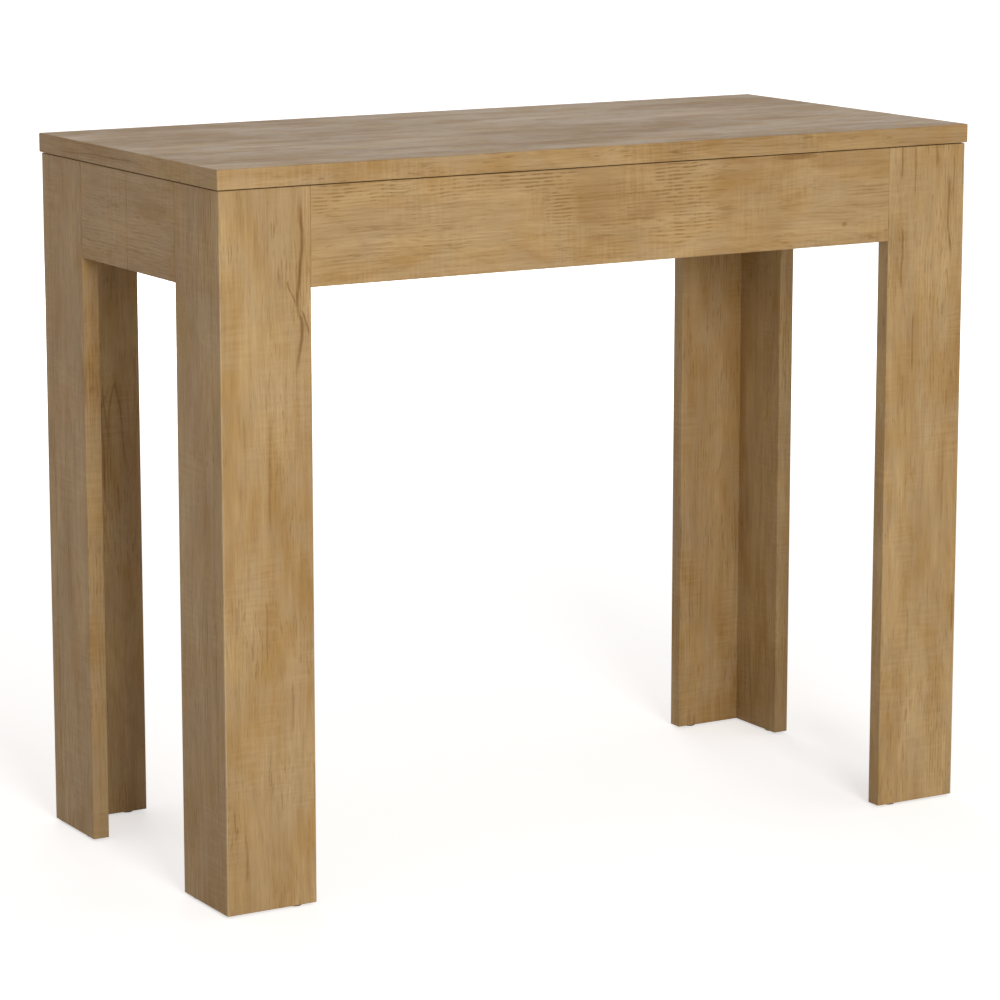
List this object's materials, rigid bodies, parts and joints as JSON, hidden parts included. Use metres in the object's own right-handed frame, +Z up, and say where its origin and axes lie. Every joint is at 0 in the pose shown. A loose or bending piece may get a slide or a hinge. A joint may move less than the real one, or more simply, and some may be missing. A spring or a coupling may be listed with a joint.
{
  "type": "extending console table",
  "caption": "Console table with board legs and flush aprons, parted across the middle; the front half pulls out on telescopic aluminium slides to make room for loose leaves.",
  "frame": {"origin": "on the floor, under the middle of the closed table", "axes": "+X along the front to the right, +Y to the back, +Z up; the front half slides out along -Y"},
  "size_m": [0.9, 0.42, 0.747],
  "materials": {
    "oak_board": "oak decor foil on particle board, satin",
    "beech_dowel": "raw fluted beech",
    "slide_aluminium": "mill finish extrusion",
    "glide_nylon": "moulded nylon",
    "black_plastic": "moulded plastic",
    "foot_plastic": "moulded plastic",
    "zinc_fitting": "zinc die casting",
    "zinc_screw": "zinc plated"
  },
  "bodies": {
    "rear_frame": {"table_top": "oak_board", "top_screws": "zinc_screw", "top_spacers": "black_plastic", "rear_apron": "oak_board", "rear_cross_rail": "oak_board", "rear_left_leg_end_board": "oak_board", "rear_left_leg_side_board": "oak_board", "rear_left_side_apron": "oak_board", "rear_right_leg_end_board": "oak_board", "rear_right_leg_side_board": "oak_board", "rear_right_side_apron": "oak_board", "rear_left_slide_bar": "slide_aluminium", "rear_right_slide_bar": "slide_aluminium", "rear_dowels": "beech_dowel", "rear_cam_locks": "zinc_fitting", "rear_cam_bolts": "zinc_fitting", "rear_slide_screws": "zinc_screw", "rear_slide_spacers": "black_plastic", "rear_slide_end_glides": "glide_nylon", "rear_foot_glides": "foot_plastic"},
    "front_frame": {"front_apron": "oak_board", "front_cross_rail": "oak_board", "front_left_leg_end_board": "oak_board", "front_left_leg_side_board": "oak_board", "front_left_side_apron": "oak_board", "front_right_leg_end_board": "oak_board", "front_right_leg_side_board": "oak_board", "front_right_side_apron": "oak_board", "front_left_slide_bar": "slide_aluminium", "front_right_slide_bar": "slide_aluminium", "front_dowels": "beech_dowel", "front_cam_locks": "zinc_fitting", "front_cam_bolts": "zinc_fitting", "front_slide_screws": "zinc_screw", "front_slide_spacers": "black_plastic", "front_bumpers": "black_plastic", "front_slide_end_glides": "glide_nylon", "front_foot_glides": "foot_plastic"},
    "left_bar_1": {"left_slide_bar_1": "slide_aluminium", "left_slide_glides_1": "glide_nylon"},
    "left_bar_2": {"left_slide_bar_2": "slide_aluminium", "left_slide_glides_2": "glide_nylon"},
    "left_bar_3": {"left_slide_bar_3": "slide_aluminium", "left_slide_glides_3": "glide_nylon"},
    "left_bar_4": {"left_slide_bar_4": "slide_aluminium", "left_slide_glides_4": "glide_nylon"},
    "left_bar_5": {"left_slide_bar_5": "slide_aluminium", "left_slide_glides_5": "glide_nylon"},
    "right_bar_1": {"right_slide_bar_1": "slide_aluminium", "right_slide_glides_1": "glide_nylon"},
    "right_bar_2": {"right_slide_bar_2": "slide_aluminium", "right_slide_glides_2": "glide_nylon"},
    "right_bar_3": {"right_slide_bar_3": "slide_aluminium", "right_slide_glides_3": "glide_nylon"},
    "right_bar_4": {"right_slide_bar_4": "slide_aluminium", "right_slide_glides_4": "glide_nylon"},
    "right_bar_5": {"right_slide_bar_5": "slide_aluminium", "right_slide_glides_5": "glide_nylon"}
  },
  "joints": [
    {"name": "front_half_slide", "type": "slide", "parent": "rear_frame", "child": "front_frame", "axis": [0, -1, 0], "range_m": [0, 1.56]},
    {"name": "left_bar_1_slide", "type": "slide", "parent": "rear_frame", "child": "left_bar_1", "axis": [0, -1, 0], "range_m": [0, 0.26]},
    {"name": "left_bar_2_slide", "type": "slide", "parent": "left_bar_1", "child": "left_bar_2", "axis": [0, -1, 0], "range_m": [0, 0.26]},
    {"name": "left_bar_3_slide", "type": "slide", "parent": "left_bar_2", "child": "left_bar_3", "axis": [0, -1, 0], "range_m": [0, 0.26]},
    {"name": "left_bar_4_slide", "type": "slide", "parent": "left_bar_3", "child": "left_bar_4", "axis": [0, -1, 0], "range_m": [0, 0.26]},
    {"name": "left_bar_5_slide", "type": "slide", "parent": "left_bar_4", "child": "left_bar_5", "axis": [0, -1, 0], "range_m": [0, 0.26]},
    {"name": "right_bar_1_slide", "type": "slide", "parent": "rear_frame", "child": "right_bar_1", "axis": [0, -1, 0], "range_m": [0, 0.26]},
    {"name": "right_bar_2_slide", "type": "slide", "parent": "right_bar_1", "child": "right_bar_2", "axis": [0, -1, 0], "range_m": [0, 0.26]},
    {"name": "right_bar_3_slide", "type": "slide", "parent": "right_bar_2", "child": "right_bar_3", "axis": [0, -1, 0], "range_m": [0, 0.26]},
    {"name": "right_bar_4_slide", "type": "slide", "parent": "right_bar_3", "child": "right_bar_4", "axis": [0, -1, 0], "range_m": [0, 0.26]},
    {"name": "right_bar_5_slide", "type": "slide", "parent": "right_bar_4", "child": "right_bar_5", "axis": [0, -1, 0], "range_m": [0, 0.26]}
  ],
  "couplings": [
    {"joint": "left_bar_1_slide", "follows": "front_half_slide", "ratio": 0.16667},
    {"joint": "left_bar_2_slide", "follows": "front_half_slide", "ratio": 0.16667},
    {"joint": "left_bar_3_slide", "follows": "front_half_slide", "ratio": 0.16667},
    {"joint": "left_bar_4_slide", "follows": "front_half_slide", "ratio": 0.16667},
    {"joint": "left_bar_5_slide", "follows": "front_half_slide", "ratio": 0.16667},
    {"joint": "right_bar_1_slide", "follows": "front_half_slide", "ratio": 0.16667},
    {"joint": "right_bar_2_slide", "follows": "front_half_slide", "ratio": 0.16667},
    {"joint": "right_bar_3_slide", "follows": "front_half_slide", "ratio": 0.16667},
    {"joint": "right_bar_4_slide", "follows": "front_half_slide", "ratio": 0.16667},
    {"joint": "right_bar_5_slide", "follows": "front_half_slide", "ratio": 0.16667}
  ]
}
